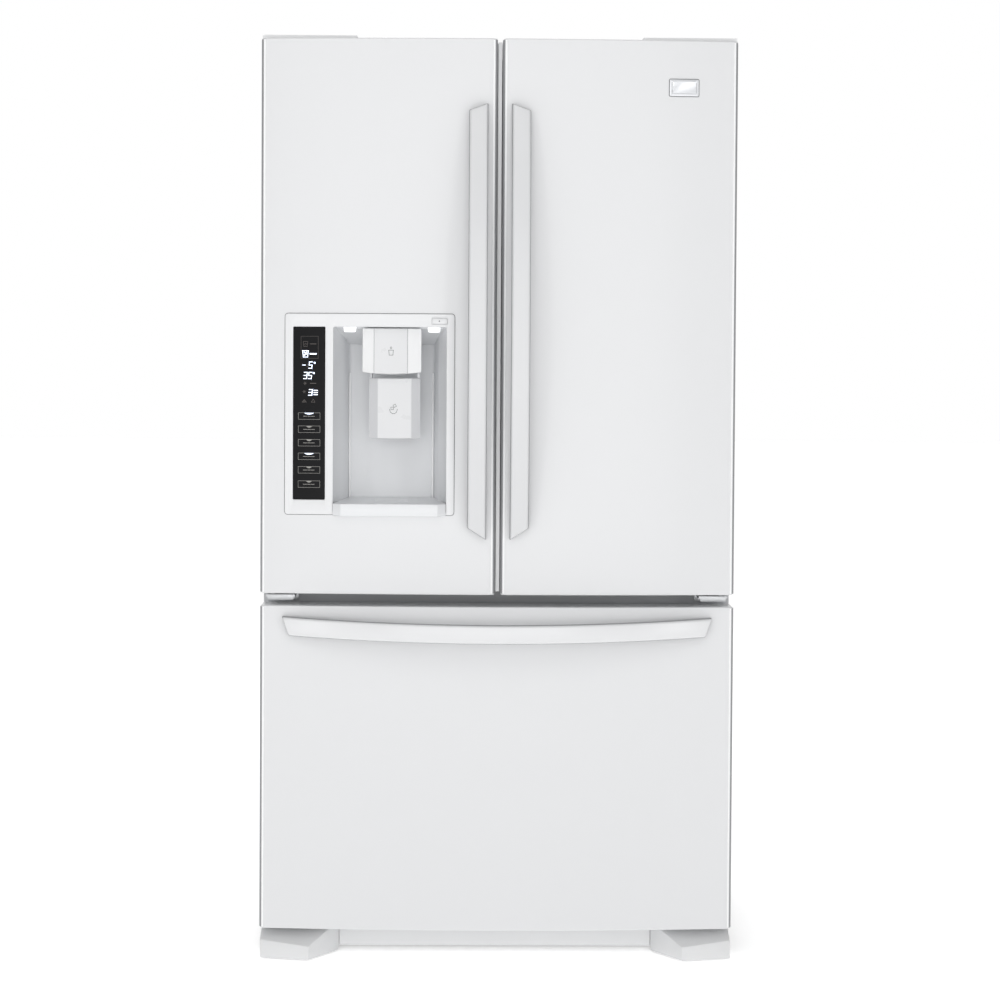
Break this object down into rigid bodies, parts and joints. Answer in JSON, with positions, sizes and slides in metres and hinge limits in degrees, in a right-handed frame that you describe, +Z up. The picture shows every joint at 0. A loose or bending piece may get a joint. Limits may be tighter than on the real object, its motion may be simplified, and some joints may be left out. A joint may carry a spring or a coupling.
{
  "type": "french door refrigerator",
  "caption": "White refrigerator with two bowed upper doors, an ice and water dispenser in the left door, arched bar handles and a freezer drawer below.",
  "frame": {"origin": "on the floor under the middle of the overall box", "axes": "+Z up, the doors face -Y, +X to the right as seen from the front"},
  "size_m": [0.908, 0.899, 1.772],
  "materials": {
    "white_enamel": "gloss",
    "white_plastic": "satin",
    "liner_white": "satin",
    "basket_plastic": "satin",
    "grey_plastic": "matte",
    "dark_trim": "matte",
    "recess_plastic": "satin",
    "black_panel": "gloss",
    "lamp_lens": "satin",
    "badge_metal": "satin",
    "gasket_rubber": "matte",
    "black_rubber": "matte",
    "clear_plastic": "gloss",
    "shelf_glass": "polished",
    "zinc_steel": "satin",
    "black_enamel": "satin",
    "aluminium": "satin",
    "foam": "matte"
  },
  "bodies": {
    "cabinet": {"outer_case": "white_enamel", "back_panel": "zinc_steel", "foam_body": "foam", "fridge_liner": "liner_white", "freezer_liner": "liner_white", "partition_bar": "dark_trim", "base_chassis": "zinc_steel", "toe_grille": "grey_plastic", "leg_covers": "grey_plastic", "levelling_legs": "zinc_steel", "hinge_covers": "white_plastic", "hinges": "zinc_steel", "shelf_frames": "white_plastic", "shelf_glass": "shelf_glass", "crisper_frame": "white_plastic", "air_duct": "liner_white", "evaporator": "aluminium", "evaporator_cover": "liner_white", "fan_motors": "dark_trim", "compressor": "black_enamel", "condenser": "black_enamel", "machine_cover": "zinc_steel", "water_valve": "white_plastic", "freezer_slides": "zinc_steel"},
    "condenser_fan": {"condenser_fan": "dark_trim"},
    "evaporator_fan": {"evaporator_fan": "white_plastic"},
    "left_roller": {"left_roller": "black_rubber"},
    "right_roller": {"right_roller": "black_rubber"},
    "left_crisper": {"left_crisper": "clear_plastic"},
    "right_crisper": {"right_crisper": "clear_plastic"},
    "pantry_drawer": {"pantry_drawer": "clear_plastic"},
    "left_door": {"left_door_skin": "white_enamel", "left_door_liner": "liner_white", "left_door_gasket": "gasket_rubber", "left_handle": "white_enamel", "left_door_bin": "clear_plastic", "ice_room_cover": "white_plastic", "ice_bin": "clear_plastic", "dispenser_frame": "white_plastic", "dispenser_recess": "recess_plastic", "control_panel": "black_panel", "dispenser_hood": "recess_plastic", "dispenser_lamps": "lamp_lens", "drip_tray": "recess_plastic"},
    "mullion_flap": {"mullion_flap": "grey_plastic"},
    "water_pad": {"water_pad": "recess_plastic"},
    "ice_pad": {"ice_pad": "recess_plastic"},
    "light_button": {"light_button": "white_plastic"},
    "right_door": {"right_door_skin": "white_enamel", "right_door_liner": "liner_white", "right_door_gasket": "gasket_rubber", "right_handle": "white_enamel", "right_door_bins": "clear_plastic", "badge_plate": "badge_metal"},
    "freezer_drawer": {"drawer_skin": "white_enamel", "drawer_liner": "liner_white", "drawer_gasket": "gasket_rubber", "drawer_handle": "white_enamel", "freezer_basket": "basket_plastic"},
    "freezer_tray": {"freezer_tray": "basket_plastic"}
  },
  "joints": [
    {"name": "left_door_hinge", "type": "hinge", "parent": "cabinet", "child": "left_door", "pos_m": [-0.432, -0.33, 1.2], "axis": [0, 0, -1], "range_deg": [0, 120]},
    {"name": "right_door_hinge", "type": "hinge", "parent": "cabinet", "child": "right_door", "pos_m": [0.432, -0.33, 1.2], "axis": [0, 0, 1], "range_deg": [0, 120]},
    {"name": "mullion_fold", "type": "hinge", "parent": "left_door", "child": "mullion_flap", "pos_m": [-0.034, -0.272, 1.2], "axis": [0, 0, 1], "range_deg": [0, 90]},
    {"name": "freezer_drawer_slide", "type": "slide", "parent": "cabinet", "child": "freezer_drawer", "axis": [0, -1, 0], "range_m": [0, 0.4]},
    {"name": "freezer_tray_slide", "type": "slide", "parent": "freezer_drawer", "child": "freezer_tray", "axis": [0, 1, 0], "range_m": [0, 0.18]},
    {"name": "left_crisper_slide", "type": "slide", "parent": "cabinet", "child": "left_crisper", "axis": [0, -1, 0], "range_m": [0, 0.075]},
    {"name": "right_crisper_slide", "type": "slide", "parent": "cabinet", "child": "right_crisper", "axis": [0, -1, 0], "range_m": [0, 0.075]},
    {"name": "pantry_drawer_slide", "type": "slide", "parent": "cabinet", "child": "pantry_drawer", "axis": [0, -1, 0], "range_m": [0, 0.075]},
    {"name": "water_pad_press", "type": "hinge", "parent": "left_door", "child": "water_pad", "pos_m": [-0.204, -0.352, 1.206], "axis": [-1, 0, 0], "range_deg": [0, 7], "stiffness_Nm_per_rad": 0.6},
    {"name": "ice_pad_press", "type": "hinge", "parent": "left_door", "child": "ice_pad", "pos_m": [-0.204, -0.338, 1.112], "axis": [-1, 0, 0], "range_deg": [0, 8], "stiffness_Nm_per_rad": 0.6},
    {"name": "light_button_press", "type": "slide", "parent": "left_door", "child": "light_button", "axis": [0, 1, 0], "range_m": [0, 0.0015], "stiffness_N_per_m": 400},
    {"name": "left_roller_spin", "type": "hinge", "parent": "cabinet", "child": "left_roller", "pos_m": [-0.42, 0.385, 0.022], "axis": [1, 0, 0], "continuous": true},
    {"name": "right_roller_spin", "type": "hinge", "parent": "cabinet", "child": "right_roller", "pos_m": [0.42, 0.385, 0.022], "axis": [1, 0, 0], "continuous": true},
    {"name": "condenser_fan_spin", "type": "hinge", "parent": "cabinet", "child": "condenser_fan", "pos_m": [-0.07, 0.345, 0.2], "axis": [1, 0, 0], "continuous": true},
    {"name": "evaporator_fan_spin", "type": "hinge", "parent": "cabinet", "child": "evaporator_fan", "pos_m": [0, 0.35, 0.622], "axis": [0, 1, 0], "continuous": true}
  ],
  "couplings": [
    {"joint": "mullion_fold", "follows": "left_door_hinge", "ratio": 0.75}
  ]
}
